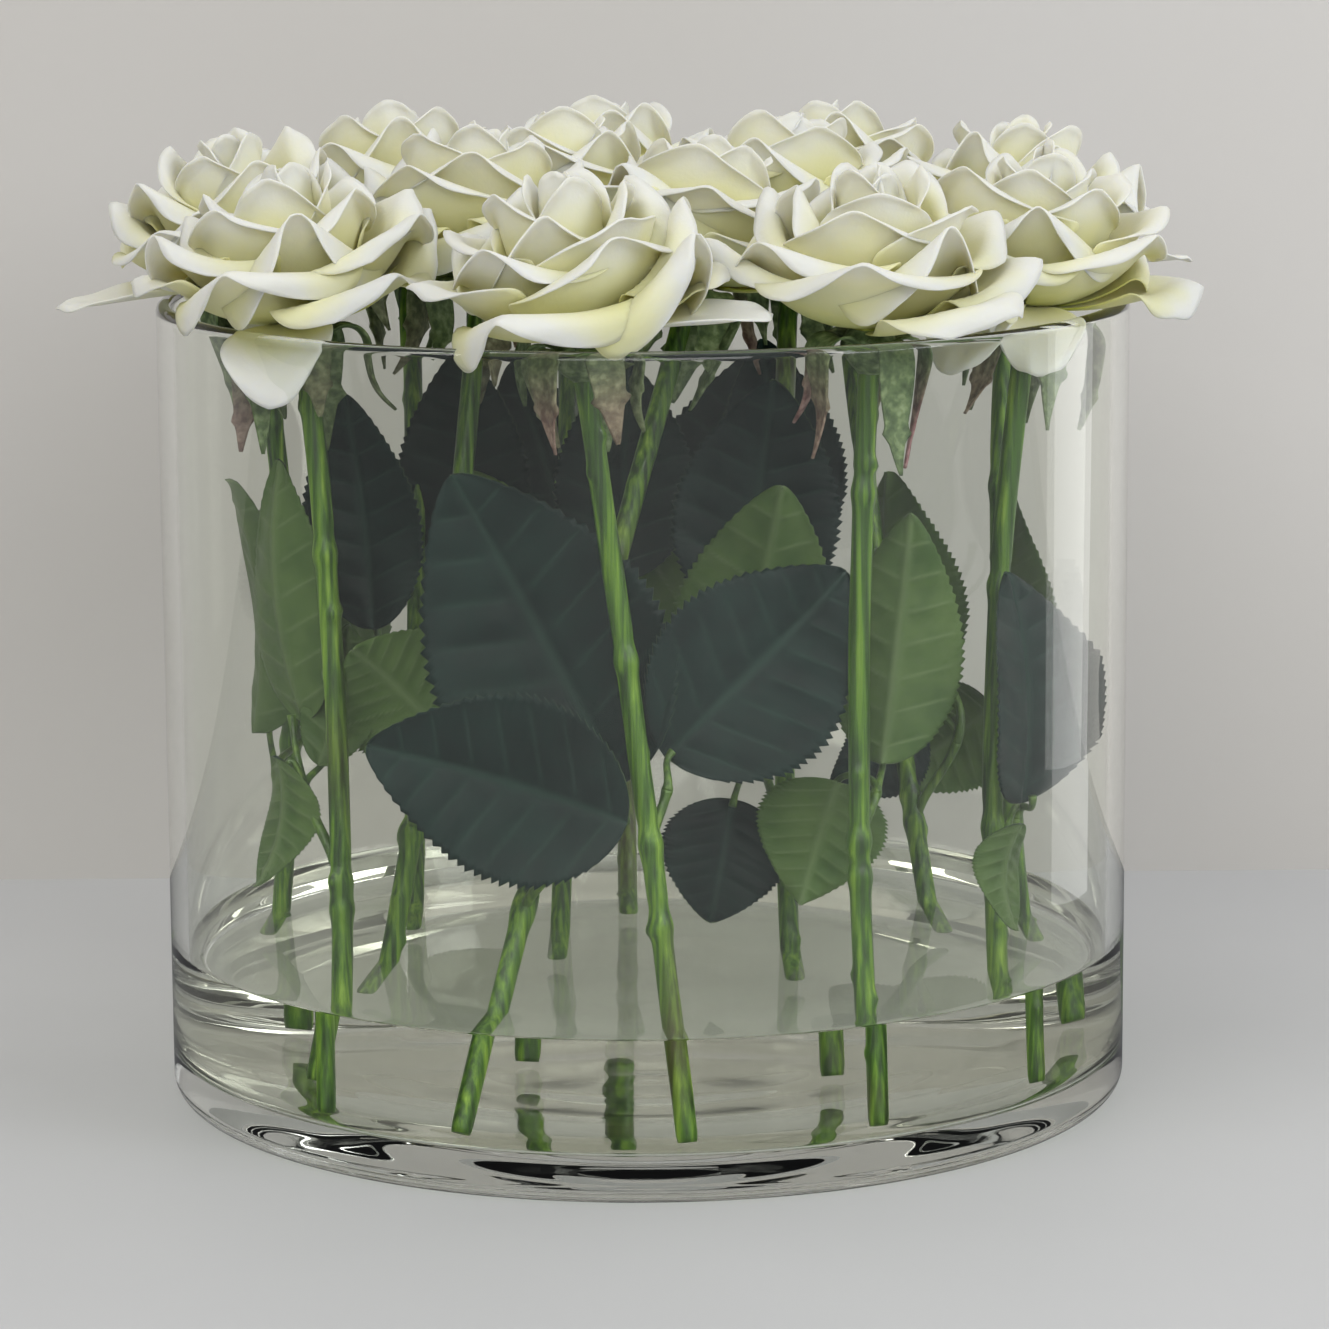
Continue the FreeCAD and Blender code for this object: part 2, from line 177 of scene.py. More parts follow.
class Recipe:
    """A material under construction: its node tree, its Principled shader and shorthand for nodes."""

    def __init__(self, name):
        self.material = bpy.data.materials.new(name)
        self.material.use_nodes = True
        self.tree = self.material.node_tree
        self.shader = next(n for n in self.tree.nodes if n.type == "BSDF_PRINCIPLED")
        self.output = next(n for n in self.tree.nodes if n.type == "OUTPUT_MATERIAL")
        self.place = self.add("ShaderNodeTexCoord").outputs["Object"]

    def add(self, kind, **settings):
        """A node of that kind, with its properties set."""
        node = self.tree.nodes.new(kind)
        for label, value in settings.items():
            setattr(node, label, value)
        return node

    def link(self, source, target):
        """A number or a colour put on a socket, or another node's output joined to it."""
        if isinstance(source, (int, float)):
            target.default_value = source
        elif isinstance(source, tuple):
            target.default_value = (*source, 1)
        else:
            self.tree.links.new(source, target)

    def set(self, **values):
        """Values for the shader's own sockets, with underscores for the spaces in their names."""
        for label, value in values.items():
            self.link(value, self.shader.inputs[label.replace("_", " ")])

    def attribute(self, label):
        return self.add("ShaderNodeAttribute", attribute_name=label).outputs["Fac"]

    def math(self, operation, first, second=0.0):
        """One sum of two values, each a number or another node's output."""
        node = self.add("ShaderNodeMath", operation=operation)
        self.link(first, node.inputs[0])
        self.link(second, node.inputs[1])
        return node.outputs[0]

    def noise(self, scale, detail=3.0, stretch=(1, 1, 1), source=None):
        """Cloudy noise on the piece's own coordinates, stretched by a Mapping node."""
        mapping = self.add("ShaderNodeMapping")
        mapping.inputs["Scale"].default_value = stretch
        self.link(source or self.place, mapping.inputs["Vector"])
        node = self.add("ShaderNodeTexNoise")
        node.inputs["Scale"].default_value = scale
        node.inputs["Detail"].default_value = detail
        self.link(mapping.outputs[0], node.inputs["Vector"])
        return node.outputs["Fac"]

    def ramp(self, factor, *stops):
        """Colours at positions along a factor, as (position, (red, green, blue))."""
        node = self.add("ShaderNodeValToRGB")
        elements = node.color_ramp.elements
        while len(elements) < len(stops):
            elements.new(1.0)
        for element, (position, colour) in zip(elements, stops):
            element.position = position
            element.color = (*colour, 1)
        self.link(factor, node.inputs["Fac"])
        return node.outputs["Color"]

    def mix(self, factor, first, second):
        """A blend of two colours, each a colour or another node's output."""
        node = self.add("ShaderNodeMix", data_type="RGBA")
        for socket, value in ((0, factor), (6, first), (7, second)):
            self.link(value, node.inputs[socket])
        return node.outputs[2]

    def bump(self, height, strength, distance):
        node = self.add("ShaderNodeBump")
        node.inputs["Strength"].default_value = strength
        node.inputs["Distance"].default_value = distance
        self.link(height, node.inputs["Height"])
        self.link(node.outputs["Normal"], self.shader.inputs["Normal"])

    def grey(self, factor, low, high):
        """A grey that goes from low to high as the factor goes from 0.3 to 0.7."""
        return self.ramp(factor, (0.3, (low,) * 3), (0.7, (high,) * 3))

    def clear_where(self, factor, tint=(1, 1, 1)):
        """Where the factor is 1, light passes straight through, tinted; elsewhere it sees the shader."""
        clear = self.add("ShaderNodeBsdfTransparent")
        self.link(tint, clear.inputs["Color"])
        mixer = self.add("ShaderNodeMixShader")
        for socket, source in enumerate((factor, self.shader.outputs[0], clear.outputs[0])):
            self.link(source, mixer.inputs[socket])
        self.link(mixer.outputs[0], self.output.inputs["Surface"])

    def let_lamps_through(self, tint):
        """Lamp light and soft bounced light pass straight through; all else sees the shader."""
        path = self.add("ShaderNodeLightPath").outputs
        self.clear_where(self.math("MAXIMUM", path["Is Shadow Ray"], path["Is Diffuse Ray"]), tint)


# %% [markdown]
# The glass bends light by 1.5 where it meets air. Where it meets water the two are nearly alike, so
# the step is only 1.5 over 1.333, and the water's own side does nothing at all. Giving each face the
# step of the border that it stands for keeps the stems' feet in the right place in the water. Lamp
# light goes straight through, as it nearly does in thin glass, so the stems inside are lit.

# %% Glass and water finishes
GLASS_INDEX = 1.5
WATER_INDEX = 1.333
SURFACE_GLOSS = 0.08  # how strongly the outside mirrors the room


def clear_material(name, index, colour, tint):
    """Polished see-through stuff whose surface bends light by the given step."""
    recipe = Recipe(name)
    recipe.set(Base_Color=colour, Roughness=0.0, IOR=index, Transmission_Weight=1.0,
               Specular_IOR_Level=SURFACE_GLOSS)
    recipe.let_lamps_through(tint)
    return recipe.material


glass_dry = clear_material("glass", GLASS_INDEX, (0.955, 0.97, 0.93), (0.95, 0.96, 0.94))
glass_wet = clear_material("glass_wet", GLASS_INDEX / WATER_INDEX, (0.93, 0.935, 0.88), (0.94, 0.945, 0.92))
water_top = clear_material("water_top", WATER_INDEX, (0.92, 0.925, 0.87), (0.93, 0.935, 0.91))
water_side = clear_material("water_side", 1.0, (1, 1, 1), (1, 1, 1))

# %% [markdown]
# The vase was blown in a mould, so its outside is true and its rim is fire-polished round. A profile
# turned about the axis makes it. The profile starts under the middle, follows the hollowed foot, the
# wall, the rim and the inside, and ends on the floor's middle. The floor has the faint rings that the
# press left. Points stand close together at each round, so that the long flat walls keep true normals.

# %% Glass vase
water_low, water_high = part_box("water")
_, vase_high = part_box("glass_vase")
WATER_GAP = 0.05 * MM
OUTER = vase_high.x
HEIGHT = vase_high.z
INNER = water_high.x + WATER_GAP
FLOOR = water_low.z - WATER_GAP
WATER_LEVEL = water_high.z
AROUND = 288


def turn_profile(radii, heights, around):
    """Revolves a profile that starts and ends on the axis: (r cos a, r sin a, z), with a fan at each pole."""
    angle = np.arange(around) * 2 * np.pi / around
    inner_r, inner_z = radii[1:-1], heights[1:-1]
    ring = np.stack([np.cos(angle), np.sin(angle)], -1)
    points = np.concatenate([
        (inner_r[:, None, None] * ring[None]),
        np.broadcast_to(inner_z[:, None, None], (len(inner_r), around, 1)),
    ], axis=2).reshape(-1, 3)
    rows = len(inner_r)
    faces = grid_faces(rows, around, closed=True).tolist() + fans_at_ends(rows, around)
    poles = np.array([[0, 0, heights[0]], [0, 0, heights[-1]]])
    return np.concatenate([points, poles]), faces


def arc(centre, radius, start, end, count):
    """Points of a circular arc in the profile's plane, from one angle to another, in degrees."""
    angle = np.radians(np.linspace(start, end, count))
    return centre[0] + radius * np.cos(angle), centre[1] + radius * np.sin(angle)


def make_vase():
    """The glass: a hollow under the foot, heel, wall, rim, inside wall, and floor with press rings."""
    kick, foot, outer_corner, inner_corner, rim = 1.4 * MM, 14 * MM, 5 * MM, 5 * MM, 2 * MM
    hollow_r = np.linspace(0, OUTER - foot, 30)
    hollow_z = kick * (1 - smooth(0.55, 1, hollow_r / hollow_r[-1]))
    heel_r, heel_z = arc((OUTER - outer_corner, outer_corner), outer_corner, -90, 0, 14)
    edge = 0.4 * MM
    wall_z = np.linspace(9 * MM, HEIGHT - 6 * MM, 30)
    wall_z = np.concatenate([[outer_corner + edge], wall_z, [HEIGHT - rim - edge]])
    lip_r, lip_z = arc((OUTER - rim, HEIGHT - rim), rim, 0, 90, 8)
    lip2_r, lip2_z = arc((INNER + rim, HEIGHT - rim), rim, 90, 180, 8)
    inside_z = np.concatenate([[HEIGHT - rim - edge], np.linspace(HEIGHT - 6 * MM, WATER_LEVEL + MM, 26)])
    wet_z = np.linspace(WATER_LEVEL, FLOOR + inner_corner + edge, 10)
    bend_r, bend_z = arc((INNER - inner_corner, FLOOR + inner_corner), inner_corner, 0, -90, 14)
    floor_r = np.linspace(INNER - inner_corner - edge, 0, 90)
    rings = 0.14 * MM * np.cos(floor_r / (4.2 * MM)) * smooth(4 * MM, 14 * MM, floor_r)
    floor_z = FLOOR + rings * smooth(0, 12 * MM, INNER - inner_corner - floor_r)
    radii = np.concatenate([hollow_r, heel_r, wall_z * 0 + OUTER, lip_r, lip2_r[1:],
                            inside_z * 0 + INNER, wet_z * 0 + INNER, bend_r[1:], floor_r])
    heights = np.concatenate([hollow_z, heel_z, wall_z, lip_z, lip2_z[1:],
                              inside_z, wet_z, bend_z[1:], floor_z])
    points, faces = turn_profile(radii, heights, AROUND)
    vase = make_piece("vase_glass", points, faces)
    vase.data.materials.append(glass_dry)
    vase.data.materials.append(glass_wet)
    middle = np.empty(len(vase.data.polygons) * 3)
    vase.data.polygons.foreach_get("center", middle)
    middle = middle.reshape(-1, 3)
    from_axis = np.hypot(middle[:, 0], middle[:, 1])
    inside = (from_axis < INNER + 0.1 * MM) & (middle[:, 2] > FLOOR - MM) & (middle[:, 2] < WATER_LEVEL)
    vase.data.polygons.foreach_set("material_index", inside.astype(np.int32))
    return vase


def dress(piece, body, node):
    """Tells the frame which body a piece moves with, which CAD node it replaces."""
    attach(piece, body)
    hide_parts(node)


vase = make_vase()
dress(vase, "vase", "glass_vase")
print("vase:", len(vase.data.polygons), "faces")

# %% [markdown]
# Water takes the vase's shape and climbs a little where it touches the glass. That curved edge is what
# draws the bright line around a real waterline, so the profile has it.

# %% Water


def make_water():
    """The water: a flat bottom, a straight side, and a top that climbs as e to the minus distance."""
    climb, reach = 1.3 * MM, 2.2 * MM
    side = INNER - WATER_GAP
    corner = 5 * MM
    bottom_r = np.linspace(0, side - corner, 12)
    bend_r, bend_z = arc((side - corner, water_low.z + corner), corner, -90, 0, 12)
    side_z = np.linspace(water_low.z + corner + MM, WATER_LEVEL, 8)
    top_r = np.concatenate([np.linspace(side, side - 9 * MM, 30), np.linspace(side - 12 * MM, 0, 24)])
    top_z = WATER_LEVEL - climb + climb * np.exp(-(side - top_r) / reach)
    radii = np.concatenate([bottom_r, bend_r[1:], side_z * 0 + side, top_r[1:]])
    heights = np.concatenate([bottom_r * 0 + water_low.z, bend_z[1:], side_z, top_z[1:]])
    points, faces = turn_profile(radii, heights, AROUND)
    water = make_piece("water_body", points, faces)
    water.data.materials.append(water_side)
    water.data.materials.append(water_top)
    normals = np.empty(len(water.data.polygons) * 3)
    water.data.polygons.foreach_get("normal", normals)
    water.data.polygons.foreach_set("material_index", (normals[2::3] > 0.1).astype(np.int32))
    return water


water = make_water()
dress(water, "vase", "water")
print("water:", len(water.data.polygons), "faces, surface at", round(WATER_LEVEL / MM, 1), "mm")

# %% [markdown]
# The roses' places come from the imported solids. A turned solid's centre of volume lies on its axis, so
# the centres of a calyx and of its flower head give the direction in which that flower faces. A stem is
# an arc that arrives along that direction. Every facet of a round joint, moved inwards by the joint's
# radius, lands on its centre, so the place where most facets land is where the leaf stalk divides.

# %% Read the roses from the frame
STEM_RADIUS = 2.6 * MM
NODE_RADIUS = 3.1 * MM
JOINT_RADIUS = 1.7 * MM
HEAD_FOOT = 8.8 * MM  # the head's lowest edge above the stem's end, along the flower's axis


def node_triangles(node):
    """A CAD node's mesh with equal corners merged: points, and triangles as point numbers."""
    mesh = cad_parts[node].data
    points = np.empty(len(mesh.vertices) * 3)
    mesh.vertices.foreach_get("co", points)
    mesh.calc_loop_triangles()
    triangles = np.empty(len(mesh.loop_triangles) * 3, int)
    mesh.loop_triangles.foreach_get("vertices", triangles)
    whole = np.round(points.reshape(-1, 3), 7)
    merged, number = np.unique(whole, axis=0, return_inverse=True)
    return merged, number.reshape(-1)[triangles].reshape(-1, 3)


def centre_of_volume(points, triangles):
    """The mean place of the tetrahedra from the origin to each triangle, weighted by their volumes."""
    a, b, c = (points[triangles[:, k]] for k in range(3))
    volume = np.sum(np.cross(a, b) * c, -1) / 6
    return ((a + b + c) / 4 * volume[:, None]).sum(0) / volume.sum()


def arc_path(start, end, arriving, count):
    """Points of the circular arc from start to end that reaches end in the direction arriving.

    With c the chord's direction, s the side it bends to and h half the turn, a point at angle p is
    the circle's centre + R (sin p c - cos p s), and the direction there is cos p c + sin p s.
    """
    chord = end - start
    along = chord / np.linalg.norm(chord)
    side = unit(arriving - along * (arriving @ along))
    half = max(math.acos(np.clip(arriving @ along, -1, 1)), 1e-3)
    ring = np.linalg.norm(chord) / (2 * math.sin(half))
    centre = (start + end) / 2 + side * ring * math.cos(half)
    turn = np.linspace(-half, half, count)[:, None]
    return centre + ring * (np.sin(turn) * along - np.cos(turn) * side), side


def ball_centre(points, triangles, radius, keep):
    """Where most small facets land when each is moved inwards by the radius, in cells of a third of a mm."""
    a, b, c = (points[triangles[:, k]] for k in range(3))
    middle = (a + b + c) / 3
    longest = np.max([np.linalg.norm(a - b, axis=1), np.linalg.norm(b - c, axis=1)], axis=0)
    chosen = keep(middle) & (longest < 1.2 * MM)
    landed = (middle - unit(np.cross(b - a, c - a)) * radius)[chosen]
    cells = np.round(landed / (0.33 * MM)).astype(int)
    _, number, count = np.unique(cells, axis=0, return_inverse=True, return_counts=True)
    return landed[number.reshape(-1) == count.argmax()].mean(0)


def islands(triangles, count):
    """A label for each point: the lowest point number that it is joined to."""
    label = np.arange(count)
    while True:
        lowest = label[triangles].min(1)
        before = label.copy()
        for corner in range(3):
            np.minimum.at(label, triangles[:, corner], lowest)
        label = label[label]
        if (label == before).all():
            return label


def flattest(points):
    """Principal directions of a cloud of points, longest first, and its middle."""
    middle = points.mean(0)
    return np.linalg.svd(points - middle, full_matrices=False)[2], middle


def read_leaf(points, centre_of_leaf):
    """Base, tip, half width, the across direction and the upper side's direction of one flat leaf.

    The thin direction is the last principal axis. The blade holds nearly all of the leaf's volume, so
    the centre of volume lies towards the upper side, and the rib stands out on the other. The rib
    starts at the blade's base, so it shows which end is which.
    """
    (_, _, up), middle = flattest(points)
    height = (points - middle) @ up
    if (centre_of_leaf - middle) @ up < (height.max() + height.min()) / 2:
        up, height = -up, -height
    skin = 0.2 * MM
    rib = points[height < height.min() + skin]
    (along, _, _), _ = flattest(rib)
    along = unit(along - up * (along @ up))
    place = (points - middle) @ along
    rib_place = (rib - middle) @ along
    if rib_place.min() - place.min() > place.max() - rib_place.max():
        along, place = -along, -place
    across = np.cross(along, up)
    width = (points - middle) @ across
    centre = middle + across * (width.max() + width.min()) / 2
    return {
        "base": centre + along * place.min(),
        "tip": centre + along * place.max(),
        "half": (width.max() - width.min()) / 2,
        "across": across,
        "up": up,
    }


def read_rose(name):
    """Everything that the looks of one rose need, read from its four CAD nodes."""
    head_points, head_triangles = node_triangles(f"{name}_head")
    calyx = centre_of_volume(*node_triangles(f"{name}_calyx"))
    axis = unit(centre_of_volume(head_points, head_triangles) - calyx)
    lowest = ((head_points - calyx) @ axis).min()
    top = calyx + axis * (lowest - HEAD_FOOT)
    from_axis = np.linalg.norm(np.cross(head_points - calyx, axis), axis=1)
    stem_points, stem_triangles = node_triangles(f"{name}_stem")
    foot = stem_points[stem_points[:, 2] < stem_points[:, 2].min() + STEM_RADIUS].mean(0)
    path, _ = arc_path(foot, top, axis, 200)

    def from_stem(places):
        return np.linalg.norm(places[:, None] - path[None], axis=2).min(1)

    def beside_stem(places):
        return (from_stem(places) > 4.5 * MM) & (places[:, 2] < top[2] - 20 * MM)

    def on_stem(places):
        return from_stem(places) < 3.6 * MM

    joint = ball_centre(stem_points, stem_triangles, JOINT_RADIUS, beside_stem)
    node = ball_centre(stem_points, stem_triangles, NODE_RADIUS, on_stem)
    leaf_points, leaf_triangles = node_triangles(f"{name}_leaves")
    label = islands(leaf_triangles, len(leaf_points))
    leaves = []
    for number in np.unique(label):
        inside = label[leaf_triangles[:, 0]] == number
        centre = centre_of_volume(leaf_points, leaf_triangles[inside])
        leaves.append(read_leaf(leaf_points[label == number], centre))
    return {
        "name": name, "axis": axis, "top": top, "foot": foot, "radius": from_axis.max(),
        "joint": joint, "node": node, "leaves": leaves,
    }


roses = [read_rose(name) for name in ROSES]
for rose in roses:
    print(rose["name"], "foot", np.round(rose["foot"] / MM), "top", np.round(rose["top"] / MM), "leans",
          round(math.degrees(math.acos(rose["axis"][2]))), "deg,", len(rose["leaves"]), "leaves")

# %% [markdown]
# A stem is a plastic-coated wire: round, a little fluted, with swollen nodes, small blunt prickles and
# a cut foot. A bevelled curve would give a perfect rod, so the rod is worked out here instead: the arc
# from the frame, and a radius for every point of its surface. The leaf stalk leaves the node, thin and
# bowed, and divides to each leaf.

# %% Stems
STEM_ROWS, STEM_AROUND = 150, 20
STALK_ROWS, STALK_AROUND = 26, 8
PRICKLES = 9
LOW_KNOT, HIGH_KNOT = 57 * MM, 136 * MM


def bump_at(values, centre, width):
    """A round swelling: e to the minus square of the distance over the width."""
    return np.exp(-(((values - centre) / width) ** 2))


def stem_radius(rose, length, rng):
    """Radius at each row and angle: flutes, swollen nodes, prickles and a slightly pinched cut foot."""
    along = np.linspace(0, length, STEM_ROWS)[:, None]
    angle = (np.arange(STEM_AROUND) * 2 * np.pi / STEM_AROUND)[None, :]
    radius = STEM_RADIUS * (1 + 0.035 * np.cos(3 * angle + along / (9 * MM)) + 0.02 * np.cos(5 * angle))
    node = np.linalg.norm(rose["node"] - rose["foot"])
    low = LOW_KNOT + 6 * MM * rng.standard_normal()
    high = HIGH_KNOT + 9 * MM * rng.standard_normal()
    for place in (node, low, high):
        radius = radius + 0.55 * MM * bump_at(along, place, 2.6 * MM)
        radius = radius - 0.18 * MM * bump_at(along, place + 5 * MM, 2 * MM)
    for _ in range(PRICKLES):
        place, side = rng.uniform(0.05, 0.93) * length, rng.uniform(0, 2 * np.pi)
        towards = np.exp(6 * (np.cos(angle - side) - 1))
        radius = radius + rng.uniform(0.5, 1.1) * MM * bump_at(along, place, 1.6 * MM) * towards
    return radius * (1 - 0.12 * bump_at(along, 0, 1.2 * MM))


def curve_between(start, leave, end, arrive, count):
    """A cubic that leaves start and reaches end in the given directions, each held for 0.4 of the gap."""
    reach = 0.4 * np.linalg.norm(end - start)
    t = np.linspace(0, 1, count)[:, None]
    near, far = start + leave * reach, end - arrive * reach
    return (1 - t) ** 3 * start + 3 * t * (1 - t) ** 2 * near + 3 * t * t * (1 - t) * far + t ** 3 * end


def make_stem(rose, rng):
    """One stem with its stalk, which runs from the node to the joint, and a twig on to each leaf."""
    end = rose["top"] + rose["axis"] * 3 * MM
    path, side = arc_path(rose["foot"], end, rose["axis"], STEM_ROWS)
    length = np.linalg.norm(np.diff(path, axis=0), axis=1).sum()
    sideways = np.broadcast_to(side, path.shape)
    points, faces = tube(path, sideways, stem_radius(rose, length, rng), STEM_AROUND)
    parts = [(points, faces, {"twig": np.zeros(len(points))})]
    up = np.array([0.0, 0.0, 1.0])
    joint = rose["joint"]
    out = unit(joint - rose["node"])
    leave, arrive = unit(out + 0.9 * up), unit(out + 0.4 * up)
    pieces = [(curve_between(rose["node"], leave, joint, arrive, STALK_ROWS), 1.55 * MM, 1.2 * MM)]
    for leaf in rose["leaves"]:
        inwards = unit(leaf["tip"] - leaf["base"])
        tip = leaf["base"] + inwards * 2 * MM
        pieces.append((curve_between(joint, arrive, tip, inwards, STALK_ROWS), 1.15 * MM, 0.8 * MM))
    for twig, thick, thin in pieces:
        t = np.linspace(0, 1, STALK_ROWS)
        radius = thin + (thick - thin) * (1 - t) ** 2
        radius = radius + 0.35 * MM * bump_at(t, 0, 0.08) + 0.3 * MM * bump_at(t, 1, 0.1)
        radius = np.repeat(radius[:, None], STALK_AROUND, 1)
        points, faces = tube(twig, np.broadcast_to(side, twig.shape), radius, STALK_AROUND)
        parts.append((points, faces, {"twig": np.ones(len(points))}))
    return make_piece(f"{rose['name']}_stem_skin", *join(parts))


def dress_roses(make, node, seed):
    """One new piece for each rose, made with its own seed, in place of that rose's CAD node."""
    pieces = []
    for number, rose in enumerate(roses):
        piece = make(rose, np.random.default_rng(seed + number))
        dress(piece, "roses", f"{rose['name']}_{node}")
        pieces.append(piece)
    print(f"{node} pieces:", sum(len(piece.data.polygons) for piece in pieces), "faces")
    return pieces


stems = dress_roses(make_stem, "stem", 100)

# %% [markdown]
# A leaf is cut from cloth with a toothed edge, pressed in a mould that creases the midrib and the side
# veins, and then it curls a little. Its outline is a width for each place along the midrib, with teeth
# added on the edge. The pressing is a height for each point: a fold along the midrib, a groove for each
# side vein, and a slow roll from base to tip.

# %% Leaves
LEAF_ROWS, LEAF_COLUMNS = 130, 25
TEETH = 32
VEIN_PAIRS = 6


def leaf_points(leaf, rng):
    """The sheet of one leaf, and for each point its share along, its share across and its veins.

    A point is base + y forward + x across + z up. With t from base to tip and a from edge to edge, y is
    t times the length, x is a times the half width times the outline, and z adds fold, curl, ripple,
    vein grooves, the cushions between the veins, and the midrib.
    """
    length = np.linalg.norm(leaf["tip"] - leaf["base"])
    forward = (leaf["tip"] - leaf["base"]) / length
    t = np.linspace(0, 1, LEAF_ROWS)[:, None]
    a = np.linspace(-1, 1, LEAF_COLUMNS)[None, :]
    outline = np.sin(np.pi * t ** 0.84) ** 0.62 * (1 - 0.30 * t ** 3)
    outline = outline / outline.max()
    tooth = (t * TEETH * (1 - 0.1 * t)) % 1
    teeth = 1 + 0.08 * (tooth - 0.5) * smooth(0.02, 0.12, t) * smooth(1.0, 0.9, t) * np.abs(a) ** 6
    x = a * leaf["half"] * (outline * teeth + 0.015)
    size = leaf["half"]
    fold = rng.uniform(0.14, 0.30) * np.abs(x) ** 1.15 * size ** -0.15
    curl = rng.uniform(2.5, 6) * MM * (t - 0.45) ** 2 * 4 * rng.choice([-1, 1, -1])
    ripple = 1.3 * MM * np.sin(2.2 * np.pi * t + 3.0 * a + rng.uniform(0, 6)) * np.abs(a) ** 1.5
    lean = t - 0.42 * np.abs(a) * outline * size / length
    vein = (lean * VEIN_PAIRS * 1.25) % 1
    groove = bump_at(vein, 0.5, 0.045) * smooth(0.03, 0.2, np.abs(a)) * smooth(1.0, 0.75, np.abs(a))
    quilt = 0.2 * MM * np.cos(2 * np.pi * (vein - 0.5)) * smooth(0.0, 0.3, np.abs(a)) * (1 - np.abs(a) ** 3)
    midrib = bump_at(x, 0, 0.9 * MM)
    z = fold + curl + ripple * 0.8 - 0.22 * MM * groove - quilt - 0.5 * MM * midrib
    y = t * length + 0 * a
    sheet = leaf["base"] + y[..., None] * forward + x[..., None] * leaf["across"] + z[..., None] * leaf["up"]
    return sheet, np.broadcast_to(t, x.shape), np.broadcast_to(a, x.shape), groove + midrib


def make_leaves(rose, rng):
    """All leaves of one rose as closed shells, with a number that tells the upper side from the lower."""
    parts = []
    for leaf in rose["leaves"]:
        sheet, t, a, veins = leaf_points(leaf, rng)
        thickness = np.broadcast_to(0.42 * MM * (1 - 0.5 * np.abs(a) ** 4), t.shape)
        points, faces = shell(sheet[None], thickness[None])
        side = np.concatenate([np.ones_like(t), np.zeros_like(t)], axis=1).reshape(-1)
        shade = rng.uniform(0, 1)
        parts.append((points, faces.tolist(), {
            "upper": side, "veins": ring_pair(veins[None]), "shade": np.full(len(points), shade),
        }))
    return make_piece(f"{rose['name']}_leaf_blades", *join(parts))


leaf_pieces = dress_roses(make_leaves, "leaves", 200)

# %% [markdown]
# Under each flower sits the calyx: a small green cup, and five sepals that have folded back and hang
# down past the rim, some with ragged, rosy tips. The cup is a short rod of changing radius. A sepal is
# a narrow sheet that follows an arc outwards and down, widest in its upper half.

# %% Calyxes
SEPALS = 5
SEPAL_ROWS, SEPAL_COLUMNS = 30, 9
CUP_ROWS, CUP_AROUND = 22, 28


def flower_frame(rose):
    """Axes of a flower: two directions across it, and its own up."""
    up = unit(rose["axis"])
    first = unit(np.cross(np.array([0.0, 1.0, 0.0]), up))
    return first, np.cross(up, first), up


def sepal_sheet(rng, turn, first, second, up, root):
    """One sepal: it leaves the cup outwards, turns down on an arc, and tapers to a twisted point."""
    t = np.linspace(0, 1, SEPAL_ROWS)[:, None]
    a = np.linspace(-1, 1, SEPAL_COLUMNS)[None, :]
    length = rng.uniform(26, 38) * MM
    fall = math.radians(rng.uniform(168, 200))
    rise = math.radians(55)
    angle = rise + (fall - rise) * smooth(0.0, rng.uniform(0.3, 0.5), t)
    angle = angle - rng.uniform(-0.3, 0.9) * smooth(0.55, 1.0, t)
    step = length / (SEPAL_ROWS - 1)
    out = 4.6 * MM + np.cumsum(np.sin(angle), axis=0) * step
    down = 5.5 * MM + np.cumsum(np.cos(angle), axis=0) * step
    width = rng.uniform(4.6, 6.6) * MM * (1 - t) ** 0.6 * (0.62 + 1.1 * t * (1 - t) * 2)
    barb = 1 + 0.5 * bump_at(t, rng.uniform(0.6, 0.8), 0.035) * np.abs(a) ** 3
    twist = rng.uniform(-0.7, 0.7) * t ** 1.5
    x = a * (width + 0.2 * MM) * barb
    cup = 0.9 * MM * a ** 2 * (1 - 0.5 * t)
    outward = first * math.cos(turn) + second * math.sin(turn)
    level = -first * math.sin(turn) + second * math.cos(turn)
    lift = cup + x * np.sin(twist)
    place_out = out - lift * np.cos(angle)
    place_up = down + lift * np.sin(angle)
    side = x * np.cos(twist)
    sheet = root + place_out[..., None] * outward + place_up[..., None] * up + side[..., None] * level
    return sheet, np.broadcast_to(t, x.shape)


def make_calyx(rose, rng):
    """The cup, a short rod of changing radius with five low ribs, and the five sepals round it."""
    first, second, up = flower_frame(rose)
    t = np.linspace(0, 1, CUP_ROWS)
    path = rose["top"] + up * (-1 * MM + 12.5 * MM * t)[:, None]
    cup = (2.9 + 3.6 * np.sin(np.pi * t ** 0.9) ** 1.3 + 1.2 * t) * MM
    ribs = 1 + 0.05 * np.cos(SEPALS * np.arange(CUP_AROUND) * 2 * np.pi / CUP_AROUND)
    points, faces = tube(path, np.broadcast_to(first, path.shape), cup[:, None] * ribs[None], CUP_AROUND)
    zeros = np.zeros(len(points))
    parts = [(points, faces, {"along": zeros, "rosy": zeros})]
    for number in range(SEPALS):
        turn = 2 * math.pi * (number + rng.uniform(-0.12, 0.12)) / SEPALS + rng.uniform(0, 0.3)
        sheet, along = sepal_sheet(rng, turn, first, second, up, rose["top"])
        thickness = np.full(sheet.shape[:2], 0.55 * MM)
        points, faces = shell(sheet[None], thickness[None])
        rosy = rng.uniform(0, 1) ** 4
        parts.append((points, faces.tolist(), {
            "along": ring_pair(along[None]), "rosy": np.full(len(points), rosy),
        }))
    return make_piece(f"{rose['name']}_calyx_skin", *join(parts))


calyxes = dress_roses(make_calyx, "calyx", 300)

